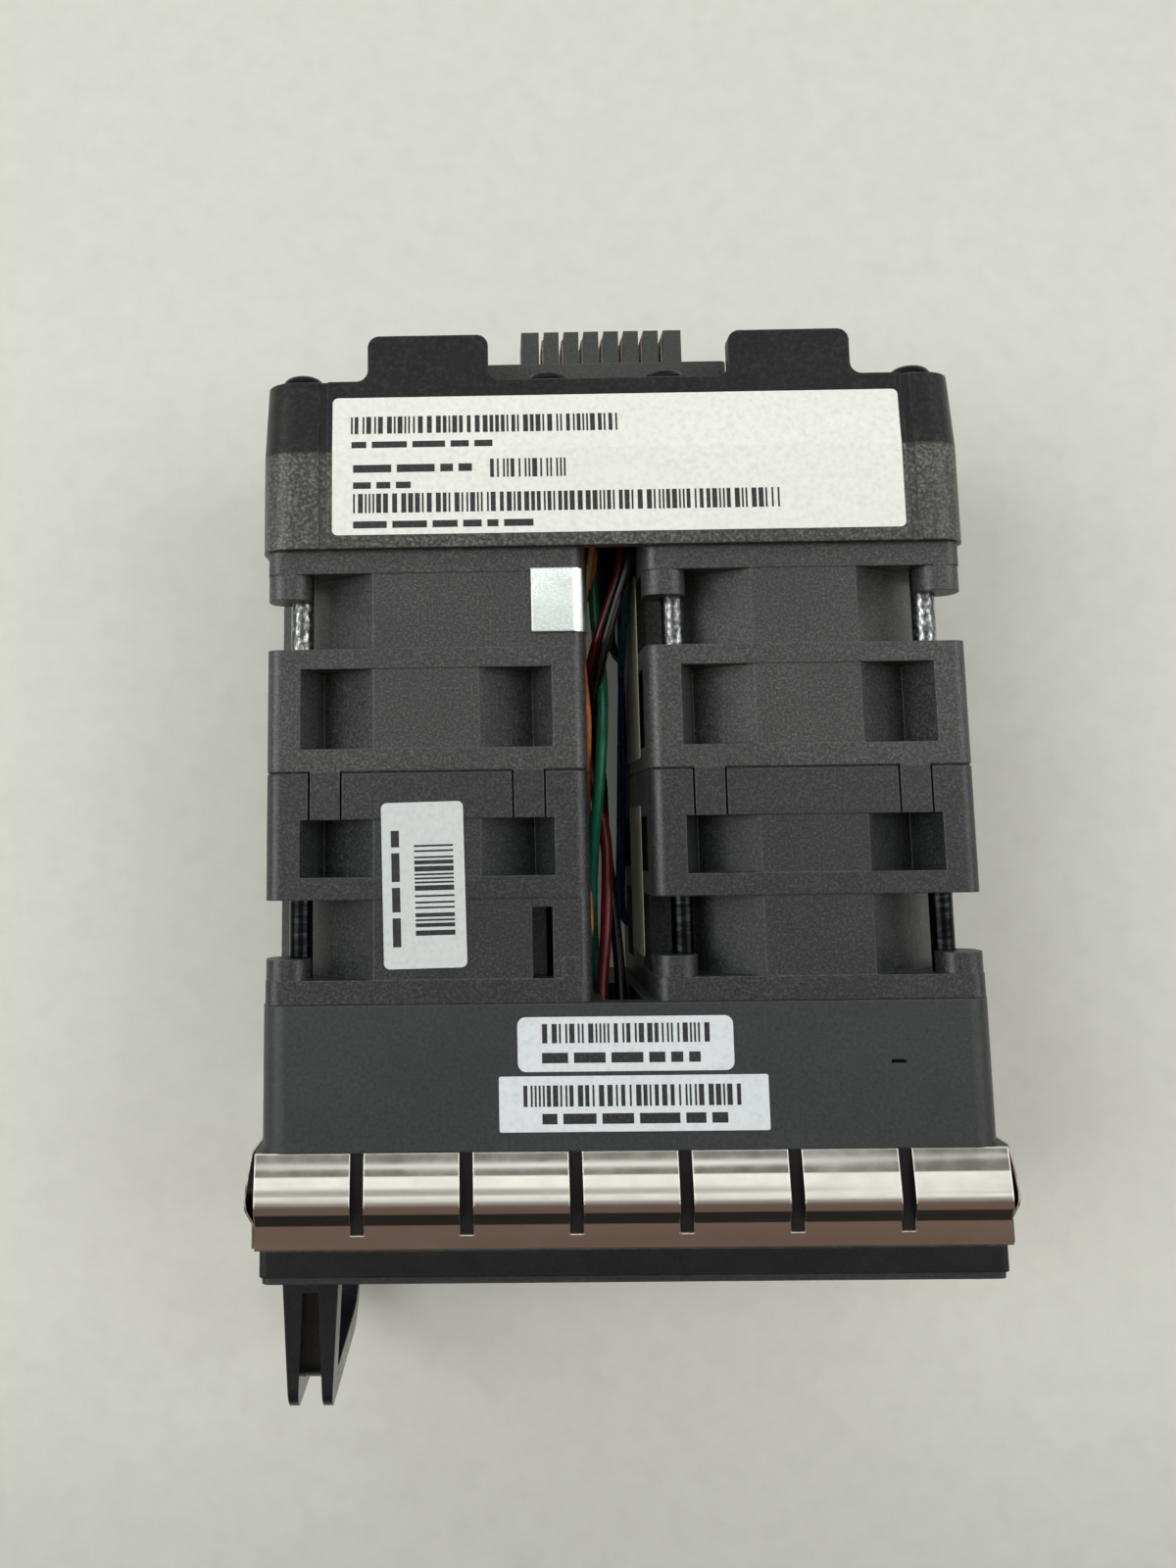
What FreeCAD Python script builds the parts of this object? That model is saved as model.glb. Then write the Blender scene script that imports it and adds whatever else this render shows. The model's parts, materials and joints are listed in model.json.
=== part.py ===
"""Hot-swap fan module: two columns of counter-rotating 40 mm fans between a rear
housing with the blind-mate connector and a front bezel with a pull handle.

Axes while modelling: +X right, +Y to the rear, +Z up. y = 0 is the plane where the
front and rear fans meet, z = 0 is the surface that the module lies on. The finished
pieces are moved along Y so that the origin is under the middle of the module.
"""
import FreeCAD, Part
import math
import os

V = FreeCAD.Vector
Y_AXIS = V(0, 1, 0)

# Fits and clearances
sliding_gap = 0.15        # pieces pushed into their pockets, each side
snap_gap = 0.25           # snap tab in its notch, each side
running_fit = 0.03        # shaft in its bearings, radial
tip_gap = 0.5             # blade tip to frame bore
air_gap = 0.4             # stator to ring magnet
rotor_gap = 0.8           # rotor to the still pieces beside it, along the shaft
hole_gap = 0.15           # screw in its clearance hole, radial
seat_gap = 0.02           # glued and pressed pieces, radial

# Fan frames
fan_size = 40.0
fan_depth = 28.0
fan_gap = 7.5             # open space between the two columns
hole_from_edge = 4.0      # screw centres to the sides of the frame
frame_edge_radius = 1.8
bore_from_edge = 1.7      # bore to the sides of the frame
waist_from_edge = 0.7     # half the frame less the radius of the duct wall at its corners
waist_arc = 2.4           # round part of the duct wall at each corner, along its arc
pad_drop = 0.08           # flat pads over the middles of the duct wall, below the bands
joint_chamfer = 0.2       # rim of each frame where the two fans meet
column_width = 4.3        # solid corner beside the pockets
column_wall = 0.35        # plastic left round the screw hole
ear_size = 5.4
ear_radius = 2.2
# Lengths along the axis from the outer end of each fan, which carries the motor
rear_fan_lengths = {"band": 3.0, "ear": 3.2, "gap": 6.4, "bar": 2.5, "flange": 2.9}
front_fan_lengths = {"band": 2.9, "ear": 2.5, "gap": 7.1, "bar": 2.7, "flange": 5.8}
base_radius = 12.2
base_thickness = 1.6
strut_width = 2.2
strut_depth = 2.2
strut_count = 4
tube_outer_radius = 3.8
lead_block_width = 4.8    # block outside the lead slot
lead_slot_width = 2.5
lead_slot_length = 8.5
lead_slot_depth = 5.2

# Snap tabs that join the rear fan to the front fan
tab_offset = 12.6
snap_tab_width = 3.7
snap_tab_length = 5.8
snap_tab_thickness = 1.4

# Rotor and motor
shaft_radius = 1.5
hub_radius = 11.0
hub_wall = 0.7
cap_thickness = 1.4
yoke_thickness = 0.6
magnet_thickness = 1.2
magnet_length = 9.0
hub_end_gap = 4.0         # hub cap to the plane where the fans meet
bearing_span = 16.0       # length of the bearing seat
bearing_width = 2.5
bearing_radius = 3.0
board_thickness = 1.0
board_radius = 10.4
core_length = 6.0
core_tooth_count = 4
core_tooth_width = 2.6
core_shoe_thickness = 1.1
core_ring_thickness = 1.2
coil_thickness = 1.0
blade_thickness = 0.9
blade_axial_length = 16.0
blade_camber = 2.2
blade_root_pitch = 48.0   # degrees from the plane of rotation
blade_tip_pitch = 34.0
front_blade_count = 7
rear_blade_count = 5

# Rear housing
housing_side_overhang = 0.75
housing_top_overhang = 1.3
housing_length = 22.0
housing_taper_length = 9.5
housing_taper = 0.8       # top and bottom
housing_side_taper = 0.35
housing_edge_radius = 4.0
housing_wall = 2.0
rear_wall = 2.0
boss_radius = 3.0
partition_wall = 1.4
rear_tab_inset = 0.6      # middle of the tab inside the fan axis
rear_tab_width = 15.5
rear_tab_length = 6.0
rear_tab_thickness = 2.0
rear_tab_radius = 1.5
rear_tab_fillet = 1.5
groove_width = 1.0
groove_depth = 0.35
groove_left_inset = 7.95  # grooves from the sides of the housing
groove_right_inset = 6.75

# Rear connector
connector_width = 33.0
connector_height = 12.0
connector_length = 4.6
connector_top_below_fan = 7.0
connector_tail_width = 7.0
connector_tail_height = 11.0
connector_tail_length = 4.0
rib_count = 8
rib_pitch = 2.7
rib_width = 2.0
end_rib_width = 2.4
rib_height = 8.0
rib_length = 5.2
contact_thickness = 0.3
contact_inset = 0.8

# Fan screws
screw_radius = 1.45
screw_head_radius = 2.75
screw_head_height = 1.9
screw_head_round = 1.3
screw_bite = 9.0          # length held by the bezel

# Front bezel and its front plate
bezel_side_overhang = 0.25
bezel_top_overhang = 0.5
bezel_body_length = 17.0
bezel_edge_radius = 3.0
gasket_zone_length = 11.0
gasket_zone_drop = 0.5    # gasket zone below the bezel, top and bottom
gasket_zone_spread = 0.7  # gasket zone past the bezel, each side
gasket_zone_edge_radius = 1.0
flange_length = 3.0
flange_drop = 0.1         # flange below the bezel, top and bottom
flange_edge_radius = 1.0
wire_slot_width = 5.0
trough_height = 6.4
trough_wall = 0.8
trough_depth = 2.4
trough_below_lamp = 0.5
slit_length = 1.8
slit_width = 0.4
slit_from_column = 8.5
slit_from_fan = 7.1
plate_thickness = 0.8
plate_inset = 0.3
hex_flats = 4.4
hex_pitch = 5.2
hex_field_radius = 15.7

# Spring-finger gaskets
gasket_sheet = 0.3
gasket_overhang = 0.5     # top and bottom strips past the bezel, each end
top_finger_count = 7
side_finger_count = 3
finger_slot_width = 1.6
top_gasket_apex = 1.3     # crest of the fingers above the bezel
side_gasket_apex = 1.3
gasket_shoulder = 0.92    # both ends of the round crest, share of its height
gasket_knee = 0.68        # start of the last slope, share of the crest
gasket_rear_lift = 0.1    # free end of the fingers above the bezel
gasket_strip_length = 1.65
gasket_root_length = 1.1  # level roots of the fingers
gasket_rise_length = 1.45
gasket_crest_length = 2.0
gasket_fall_length = 2.2
side_gasket_margin = 0.8

# Pull handle
handle_from_edge = 5.3    # middle of the handle to the side of the bezel
handle_width = 7.0
handle_tip_width = 5.2
handle_reach = 16.6
handle_height = 31.0
handle_top_below_fan = 6.1
handle_tip_radius = 2.6
handle_corner = 4.6       # round lower front corner
handle_top_band = 4.8
handle_front_band = 3.2
handle_low_band = 2.0
handle_foot = 3.0
handle_hole_tip = 1.2
handle_hole_corner = 4.0
handle_groove_root = 1.75
handle_groove_tip = 3.0
handle_groove_depth = 2.4
handle_screw_spread = 22.0
handle_screw_radius = 1.0
handle_screw_head_radius = 1.9
handle_screw_head_height = 1.2
handle_screw_bite = 2.4

# Status lamp
lamp_from_edge = 2.7
lamp_below_fan = 4.2
lamp_radius = 1.5
lamp_flange_radius = 2.2
lamp_dome_height = 1.3
lamp_body_length = 5.0
lamp_body_width = 3.0

# Lead clip on the left rear fan
clip_width = 7.1
clip_length = 8.1
clip_drop = 9.0
clip_sheet = 0.4
clip_from_rear = 2.7

# Leads in the centre gap
lamp_lead_radius = 0.75
fan_lead_radius = 0.45
tail_run = 6.0            # straight length on the connector tail
fan_lead_run = 1.9        # straight length at the fan
lamp_turn_x = -0.8
lamp_turn_run = 7.0       # run before the turn into the trough
bend_share = 0.45         # part of each run that a bend may take

# Heights and stations worked out from the sizes above
fans_width = 2 * fan_size + fan_gap
housing_width = fans_width + 2 * housing_side_overhang
housing_height = fan_size + 2 * housing_top_overhang
bezel_width = fans_width + 2 * bezel_side_overhang
bezel_height = fan_size + 2 * bezel_top_overhang
gasket_zone_height = bezel_height - 2 * gasket_zone_drop
gasket_zone_width = bezel_width + 2 * gasket_zone_spread
flange_height = bezel_height - 2 * flange_drop
gasket_width = bezel_width + 2 * gasket_overhang
handle_x = handle_from_edge - bezel_width / 2
lamp_x = bezel_width / 2 - lamp_from_edge
axis_z = housing_height / 2
fan_top_z = axis_z + fan_size / 2
column_x = (fan_size + fan_gap) / 2
bore_radius = fan_size / 2 - bore_from_edge
waist_radius = fan_size / 2 - waist_from_edge
waist_lean = math.pi / 4 - waist_arc / waist_radius / 2
pad_top = fan_size / 2 - pad_drop
pad_half_width = (waist_radius - pad_top * math.cos(waist_lean)) / math.sin(waist_lean)
tip_radius = bore_radius - tip_gap
hole_offset = fan_size / 2 - hole_from_edge
screw_hole_radius = screw_radius + hole_gap
housing_rear_y = fan_depth + housing_length
bezel_body_y = -fan_depth - bezel_body_length
zone_y = bezel_body_y - gasket_zone_length
flange_y = zone_y - flange_length
plate_y = flange_y - plate_thickness
connector_top_z = fan_top_z - connector_top_below_fan
connector_middle_z = connector_top_z - connector_height / 2
connector_rear_y = housing_rear_y + connector_length
front_end_y = plate_y - handle_reach
rear_end_y = connector_rear_y + rib_length
middle_y = (front_end_y + rear_end_y) / 2
lamp_z = fan_top_z - lamp_below_fan
trough_z = lamp_z - trough_below_lamp
handle_top_z = fan_top_z - handle_top_below_fan
tail_y = housing_rear_y - rear_wall - connector_tail_length

# Stations inside a fan, along its axis from the motor end
tube_floor = base_thickness / 2
bearing_tube_end = tube_floor + bearing_span
rotor_start_y = base_thickness + board_thickness + rotor_gap
hub_end_y = fan_depth - hub_end_gap
blade_middle_y = (rotor_start_y + hub_end_y) / 2
core_middle_y = rotor_start_y + rotor_gap + magnet_length / 2
magnet_inner = hub_radius - hub_wall - yoke_thickness - magnet_thickness - 2 * seat_gap
core_radius = magnet_inner - air_gap
core_ring_radius = tube_outer_radius + seat_gap + core_ring_thickness
shaft_boss_radius = shaft_radius + cap_thickness


def box(x0, x1, y0, y1, z0, z1):
    """Block between two opposite corners."""
    return Part.makeBox(x1 - x0, y1 - y0, z1 - z0, V(x0, y0, z0))


def rod(radius, y0, y1, x=0.0, z=0.0):
    """Cylinder along Y."""
    return Part.makeCylinder(radius, y1 - y0, V(x, y0, z), Y_AXIS)


def ring(outer, inner, y0, y1, x=0.0, z=0.0):
    """Tube along Y."""
    return rod(outer, y0, y1, x, z).cut(rod(inner, y0, y1, x, z))


def rounded_wire(width, height, y, radius, z=0.0, x=0.0):
    """Rectangle across Y, centred on (x, z), with round corners."""
    edges = []
    corners = ((1, 1), (-1, 1), (-1, -1), (1, -1))
    bend = radius * (1 - math.sqrt(0.5))
    previous_end = None
    first_start = None
    for index, (sx, sz) in enumerate(corners):
        corner_x = x + sx * width / 2
        corner_z = z + sz * height / 2
        on_x = V(corner_x - sx * radius, y, corner_z)
        on_z = V(corner_x, y, corner_z - sz * radius)
        middle = V(corner_x - sx * bend, y, corner_z - sz * bend)
        start, end = (on_z, on_x) if index % 2 == 0 else (on_x, on_z)
        if previous_end is None:
            first_start = start
        else:
            edges.append(Part.LineSegment(previous_end, start).toShape())
        edges.append(Part.Arc(start, middle, end).toShape())
        previous_end = end
    edges.append(Part.LineSegment(previous_end, first_start).toShape())
    return Part.Wire(edges)


def rounded_block(width, height, y0, y1, radius, z=0.0, x=0.0):
    """Block along Y, centred on (x, z), with its four long edges rounded."""
    face = Part.Face(rounded_wire(width, height, y0, radius, z, x))
    return face.extrude(V(0, y1 - y0, 0))


def extrude_profile(points, direction):
    """Prism from a closed outline of straight runs."""
    wire = Part.makePolygon(points + points[:1])
    return Part.Face(wire).extrude(direction)


def fuse(shapes):
    """One clean solid from overlapping shapes."""
    return shapes[0].multiFuse(shapes[1:]).removeSplitter()


def turned(shape, degrees):
    """Copy turned about the Y axis."""
    copy = shape.copy()
    copy.rotate(V(0, 0, 0), Y_AXIS, degrees)
    return copy


def moved(shape, x=0.0, y=0.0, z=0.0):
    """Copy moved by a step."""
    copy = shape.copy()
    copy.translate(V(x, y, z))
    return copy


# Fan frame, in its own axes: the motor end lies at y = 0, the joint at y = fan_depth

def corner_column(y0, y1):
    """Solid corner round a screw hole, with walls that lean in towards the duct."""
    edge = fan_size / 2
    shoulder = hole_offset - screw_hole_radius - column_wall
    inner = waist_radius * math.sqrt(0.5) - column_wall
    points = [V(edge, y0, edge), V(edge - column_width, y0, edge),
              V(shoulder, y0, hole_offset), V(inner, y0, inner),
              V(hole_offset, y0, shoulder), V(edge, y0, edge - column_width)]
    return extrude_profile(points, V(0, y1 - y0, 0))


def at_corners(shape):
    """The shape at one corner, repeated at all four."""
    return [turned(shape, 90 * quarter) for quarter in range(4)]


def duct_wall():
    """Duct with flat pads over its four middles and facets that lean to its round corners."""
    half = pad_half_width
    side = waist_radius * math.sin(waist_lean)
    low = waist_radius * math.cos(waist_lean)
    round_middle = waist_radius * math.sqrt(0.5)
    quarter = [Part.LineSegment(V(-half, 0, pad_top), V(half, 0, pad_top)).toShape(),
               Part.LineSegment(V(half, 0, pad_top), V(side, 0, low)).toShape(),
               Part.Arc(V(side, 0, low), V(round_middle, 0, round_middle), V(low, 0, side)).toShape(),
               Part.LineSegment(V(low, 0, side), V(pad_top, 0, half)).toShape()]
    edges = [turned(edge, 90 * count) for count in range(4) for edge in quarter]
    outline = Part.Wire(Part.__sortEdges__(edges))
    return Part.Face(outline).extrude(V(0, fan_depth, 0))


def motor_base():
    """Base plate, bearing tube and the struts that carry them."""
    base = rod(base_radius, 0, base_thickness)
    tube = rod(tube_outer_radius, 0, bearing_tube_end)
    strut = box((base_radius + board_radius) / 2, bore_radius + column_wall, 0, strut_depth,
                -strut_width / 2, strut_width / 2)
    turn = 360.0 / strut_count
    struts = [turned(strut, turn / 2 + turn * index) for index in range(strut_count)]
    solid = fuse([base, tube] + struts)
    return solid.cut(rod(bearing_radius + seat_gap, tube_floor, bearing_tube_end))


def snap_tab_shapes(grow):
    """Tabs at the joint, or with grow > 0 the notches that take them."""
    top = fan_size / 2
    width = snap_tab_width / 2 + grow
    tabs = []
    for sign in (-1, 1):
        tab = box(sign * tab_offset - width, sign * tab_offset + width, 0,
                  snap_tab_length + grow, top - snap_tab_thickness - grow, top)
        tabs += [tab, turned(tab, 180)]
    return tabs


def fan_frame(lengths, is_rear):
    """Moulded frame: square bands, open corners, corner pockets, duct and motor base."""
    ear_y = lengths["band"]
    gap_y = ear_y + lengths["ear"]
    bar_y = gap_y + lengths["gap"]
    pocket_y = bar_y + lengths["bar"]
    flange_start = fan_depth - lengths["flange"]
    ear_centre = (fan_size - ear_size) / 2
    ear = rounded_block(ear_size, ear_size, ear_y, gap_y, ear_radius, ear_centre, ear_centre)
    edge = fan_size / 2
    block_low = waist_radius * math.sqrt(0.5) - column_wall
    lead_corner = box(pad_half_width, edge, ear_y, bar_y, block_low, pad_top)
    pieces = [duct_wall(), lead_corner]
    pieces += at_corners(ear)
    pieces += at_corners(corner_column(pocket_y, flange_start))
    for y0, y1 in ((0, ear_y), (bar_y, pocket_y), (flange_start, fan_depth)):
        pieces.append(rounded_block(fan_size, fan_size, y0, y1, frame_edge_radius))
    outline = rounded_block(fan_size, fan_size, 0, fan_depth, frame_edge_radius)
    rim = [line for line in outline.Edges if line.BoundBox.YMin > fan_depth - joint_chamfer]
    outline = outline.makeChamfer(joint_chamfer, rim)
    shell = fuse(pieces).common(outline).cut(rod(bore_radius, 0, fan_depth))
    shell = shell.fuse(motor_base())
    for hole in at_corners(rod(screw_hole_radius, 0, fan_depth, hole_offset, hole_offset)):
        shell = shell.cut(hole)
    if is_rear:
        root = snap_tab_thickness
        for tab in snap_tab_shapes(0.0):
            low = tab.BoundBox
            anchor = box(low.XMin, low.XMax, -root, 0, low.ZMin, low.ZMax)
            shell = shell.fuse(moved(tab.fuse(anchor), 0, fan_depth, 0))
    else:
        for notch in snap_tab_shapes(snap_gap):
            shell = shell.cut(moved(notch, 0, fan_depth - snap_tab_length - snap_gap, 0))
        slot_x = edge - lead_block_width
        shell = shell.cut(box(slot_x - lead_slot_width, slot_x, ear_y, ear_y + lead_slot_length,
                              edge - lead_slot_depth, edge))
    return shell.removeSplitter()


# Rotor, which turns on the shaft

def blade_section(x, pitch_degrees, bend):
    """Thin cambered section of a blade across the radius at distance x from the axis."""
    pitch = math.radians(pitch_degrees)
    along = V(0, math.sin(pitch), -math.cos(pitch))
    across = V(0, math.cos(pitch), math.sin(pitch))
    half_chord = blade_axial_length / math.sin(pitch) / 2
    centre = V(x, blade_middle_y, 0)
    end = across * (blade_thickness / 4)
    bulge = across * (blade_camber * bend)
    side = across * (blade_thickness / 2)
    start_point = centre - along * half_chord
    end_point = centre + along * half_chord
    front = Part.Arc(start_point + end, centre + bulge + side, end_point + end).toShape()
    back = Part.Arc(end_point - end, centre + bulge - side, start_point - end).toShape()
    cap_a = Part.LineSegment(end_point + end, end_point - end).toShape()
    cap_b = Part.LineSegment(start_point - end, start_point + end).toShape()
    return Part.Wire([front, cap_a, back, cap_b])


def impeller(blade_count, bend):
    """Hub cup with its shaft boss and twisted blades."""
    skirt_inner = hub_radius - hub_wall
    cap_y = hub_end_y - cap_thickness
    hub = ring(hub_radius, skirt_inner, rotor_start_y, hub_end_y)
    cap = rod(skirt_inner, cap_y, hub_end_y)
    boss = rod(shaft_boss_radius, bearing_tube_end + rotor_gap, cap_y)
    root_x = hub_radius - 2 * blade_camber
    tip_x = tip_radius + tip_gap
    sections = [blade_section(root_x, blade_root_pitch, bend),
                blade_section(tip_x, blade_tip_pitch, bend)]
    reach = ring(tip_radius, hub_radius - hub_wall / 2, rotor_start_y, hub_end_y)
    blade = Part.makeLoft(sections, True, True).common(reach)
    blades = [turned(blade, 360.0 / blade_count * index) for index in range(blade_count)]
    solid = fuse([hub, cap, boss] + blades)
    return solid.cut(rod(shaft_radius + seat_gap, 0, cap_y))


def rotor_yoke():
    """Steel cup inside the hub."""
    outer = hub_radius - hub_wall - seat_gap
    plate_y = hub_end_y - cap_thickness - yoke_thickness
    skirt = ring(outer, outer - yoke_thickness, rotor_start_y + rotor_gap, plate_y)
    end_plate = ring(outer, shaft_boss_radius + seat_gap, plate_y, plate_y + yoke_thickness)
    return skirt.fuse(end_plate).removeSplitter()


def ring_magnet():
    """Magnet glued in the yoke, level with the stator core."""
    half = magnet_length / 2
    return ring(magnet_inner + magnet_thickness, magnet_inner, core_middle_y - half,
                core_middle_y + half)


def shaft():
    """Shaft from the base of the bearing tube to the hub cap."""
    return rod(shaft_radius, tube_floor + rotor_gap / 2, hub_end_y - cap_thickness)


# Motor, which stands still on the frame

def bearings():
    """Pair of bearings at the two ends of the bearing tube."""
    inner = shaft_radius + running_fit
    low_y = tube_floor + rotor_gap
    return [ring(bearing_radius, inner, low_y, low_y + bearing_width),
            ring(bearing_radius, inner, bearing_tube_end - bearing_width, bearing_tube_end)]


def circuit_board():
    """Round motor board on the base plate."""
    return ring(board_radius, tube_outer_radius + seat_gap, base_thickness,
                base_thickness + board_thickness)


def stator_core():
    """Laminated core: a ring, its teeth and their shoes."""
    y0 = core_middle_y - core_length / 2
    y1 = core_middle_y + core_length / 2
    inner = tube_outer_radius + seat_gap
    shoe_inner = core_radius - core_shoe_thickness
    pieces = [ring(core_ring_radius, inner, y0, y1)]
    tooth = box(core_ring_radius - seat_gap, shoe_inner + core_shoe_thickness / 2, y0, y1,
                -core_tooth_width / 2, core_tooth_width / 2)
    shoes = ring(core_radius, shoe_inner, y0, y1)
    slot = box(0, fan_size, y0, y1, -core_tooth_width / 2, core_tooth_width / 2)
    turn = 360.0 / core_tooth_count
    for index in range(core_tooth_count):
        pieces.append(turned(tooth, turn * index))
        shoes = shoes.cut(turned(slot, turn * (index + 0.5)))
    return fuse(pieces + [shoes])


def coils():
    """One winding round each tooth."""
    half = core_length / 2 + seat_gap
    width = core_tooth_width / 2 + seat_gap
    x0 = core_ring_radius + seat_gap
    shoe_inner = core_radius - core_shoe_thickness
    wide = width + coil_thickness
    x1 = math.sqrt(shoe_inner ** 2 - wide ** 2) - seat_gap
    tall = half + coil_thickness
    coil = box(x0, x1, core_middle_y - tall, core_middle_y + tall, -wide, wide)
    coil = coil.cut(box(x0, x1, core_middle_y - half, core_middle_y + half, -width, width))
    turn = 360.0 / core_tooth_count
    return [turned(coil, turn * index) for index in range(core_tooth_count)]


# Rear housing, in the axes of the module

def fan_hole_places():
    """Centres (x, z) of the eight fan screws."""
    return [(side * column_x + sx * hole_offset, axis_z + sz * hole_offset)
            for side in (-1, 1) for sx in (-1, 1) for sz in (-1, 1)]


def housing_shell():
    """Outer form: straight at the front, drawn in towards the rear."""
    bend_y = housing_rear_y - housing_taper_length
    front = rounded_block(housing_width, housing_height, fan_depth, bend_y,
                          housing_edge_radius, axis_z)
    wide = rounded_wire(housing_width, housing_height, bend_y, housing_edge_radius, axis_z)
    narrow = rounded_wire(housing_width - 2 * housing_side_taper,
                          housing_height - 2 * housing_taper, housing_rear_y,
                          housing_edge_radius, axis_z)
    rear = Part.makeLoft([wide, narrow], True, True)
    return front.fuse(rear)


def housing_groove(x):
    """Shallow groove along the top that follows the taper."""
    bend_y = housing_rear_y - housing_taper_length
    low = housing_height - groove_depth
    above = housing_height + groove_depth
    x0 = x - groove_width / 2
    points = [V(x0, fan_depth, low), V(x0, bend_y, low),
              V(x0, housing_rear_y, low - housing_taper), V(x0, housing_rear_y, above),
              V(x0, fan_depth, above)]
    return extrude_profile(points, V(groove_width, 0, 0))


def rear_tab(x):
    """Guide tab with round outer corners and hollow fillets at its root."""
    half = rear_tab_width / 2
    top = housing_height - housing_taper
    z = top - rear_tab_thickness
    root = housing_rear_y - rear_wall
    tip = housing_rear_y + rear_tab_length
    near = math.sqrt(0.5)
    edges = []
    foot = half + rear_tab_fillet
    shoulder = housing_rear_y + rear_tab_fillet
    hollow = rear_tab_fillet * (1 - near)
    round_in = rear_tab_radius * (1 - near)
    for sign in (-1, 1):
        foot_point = V(x + sign * foot, housing_rear_y, z)
        side_point = V(x + sign * half, shoulder, z)
        fillet_point = V(x + sign * (half + hollow), housing_rear_y + hollow, z)
        high_point = V(x + sign * half, tip - rear_tab_radius, z)
        corner_point = V(x + sign * (half - round_in), tip - round_in, z)
        tip_point = V(x + sign * (half - rear_tab_radius), tip, z)
        edges.append(Part.LineSegment(V(x + sign * foot, root, z), foot_point).toShape())
        edges.append(Part.Arc(foot_point, fillet_point, side_point).toShape())
        edges.append(Part.LineSegment(side_point, high_point).toShape())
        edges.append(Part.Arc(high_point, corner_point, tip_point).toShape())
    edges.append(Part.LineSegment(V(x - foot, root, z), V(x + foot, root, z)).toShape())
    tip_half = half - rear_tab_radius
    edges.append(Part.LineSegment(V(x - tip_half, tip, z), V(x + tip_half, tip, z)).toShape())
    outline = Part.Wire(Part.__sortEdges__(edges))
    return Part.Face(outline).extrude(V(0, 0, rear_tab_thickness))


def air_opening(side):
    """Rear opening of one column, which leaves the wall behind the connector."""
    inner = fan_gap / 2 + partition_wall
    outer = housing_width / 2 - housing_wall - housing_taper
    height = housing_height - 2 * (housing_wall + housing_taper)
    y0 = housing_rear_y - rear_wall
    opening = rounded_block(outer - inner, height, y0, housing_rear_y, boss_radius, axis_z,
                            side * (inner + outer) / 2)
    margin = housing_wall / 2
    plate = box(-connector_width / 2 - margin, connector_width / 2 + margin, y0, housing_rear_y,
                connector_top_z - connector_height - margin, connector_top_z + margin)
    return opening.cut(plate)


def rear_housing():
    """Shroud behind the fans, with screw bosses, lead channel, openings and tabs."""
    back_y = housing_rear_y - rear_wall
    cavity = rounded_block(housing_width - 2 * housing_wall, housing_height - 2 * housing_wall,
                           fan_depth, back_y, housing_edge_radius - housing_wall, axis_z)
    solid = housing_shell().cut(cavity)
    for side in (-1, 1):
        solid = solid.cut(air_opening(side))
        wall_inner = side * fan_gap / 2
        wall_outer = side * (fan_gap / 2 + partition_wall)
        partition = box(min(wall_inner, wall_outer), max(wall_inner, wall_outer), fan_depth,
                        back_y, housing_wall, housing_height - housing_wall)
        solid = solid.fuse(partition)
    bosses = [rod(boss_radius, fan_depth, housing_rear_y, x, z) for x, z in fan_hole_places()]
    tabs = [rear_tab(side * (column_x - rear_tab_inset)) for side in (-1, 1)]
    solid = solid.multiFuse(bosses + tabs)
    holes = [rod(screw_hole_radius, fan_depth, housing_rear_y, x, z)
             for x, z in fan_hole_places()]
    tail = connector_tail(sliding_gap)
    grooves = [housing_groove(groove_left_inset - housing_width / 2),
               housing_groove(housing_width / 2 - groove_right_inset)]
    return solid.cut(Part.makeCompound(holes + grooves)).cut(tail).removeSplitter()


# Rear connector

def connector_tail(grow):
    """Tail that carries the leads, or with grow > 0 the hole for it in the rear wall."""
    half = connector_tail_width / 2 + grow
    tall = connector_tail_height / 2 + grow
    return box(-half, half, tail_y, housing_rear_y, connector_middle_z - tall,
               connector_middle_z + tall)


def rib_places():
    """Left and right sides of each rib."""
    places = []
    for index in range(rib_count):
        centre = (index - (rib_count - 1) / 2) * rib_pitch
        left = centre - rib_width / 2
        right = centre + rib_width / 2
        if index == 0:
            left = right - end_rib_width
        if index == rib_count - 1:
            right = left + end_rib_width
        places.append((left, right))
    return places


def connector_body():
    """Connector block with its row of ribs."""
    block = rounded_block(connector_width, connector_height, housing_rear_y, connector_rear_y,
                          rib_width / 2, connector_middle_z)
    low = connector_middle_z - rib_height / 2
    ribs = [box(left, right, connector_rear_y - rib_width, rear_end_y, low, low + rib_height)
            for left, right in rib_places()]
    return fuse([block, connector_tail(0.0)] + ribs)


def connector_contacts():
    """One contact blade on the left side of every rib but the first."""
    half = rib_height / 2 - contact_inset
    return [box(left - contact_thickness, left, connector_rear_y, rear_end_y - contact_inset,
                connector_middle_z - half, connector_middle_z + half)
            for left, _ in rib_places()[1:]]


# Fan screws

def fan_screw(x, z):
    """Long screw with a round pan head, from the rear housing into the bezel."""
    shank = rod(screw_radius, -fan_depth - screw_bite, housing_rear_y, x, z)
    head = rod(screw_head_radius, housing_rear_y, housing_rear_y + screw_head_height, x, z)
    rim = [edge for edge in head.Edges
           if edge.BoundBox.YMin > housing_rear_y + screw_head_height / 2]
    head = head.makeFillet(screw_head_round, rim)
    return shank.fuse(head).removeSplitter()


# Front bezel and front plate

def lamp_body(grow):
    """Body of the status lamp, or with grow > 0 the pocket for it in the bezel."""
    half = lamp_body_width / 2 + grow
    tall = trough_height / 2 - trough_wall + grow
    return box(lamp_x - half, lamp_x + half, flange_y, flange_y + lamp_body_length + grow,
               trough_z - tall, trough_z + tall)


def handle_screw_places():
    """Centres (x, z) of the two handle screws."""
    middle = handle_top_z - handle_height / 2
    return [(handle_x, middle + sign * handle_screw_spread / 2) for sign in (-1, 1)]


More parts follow.
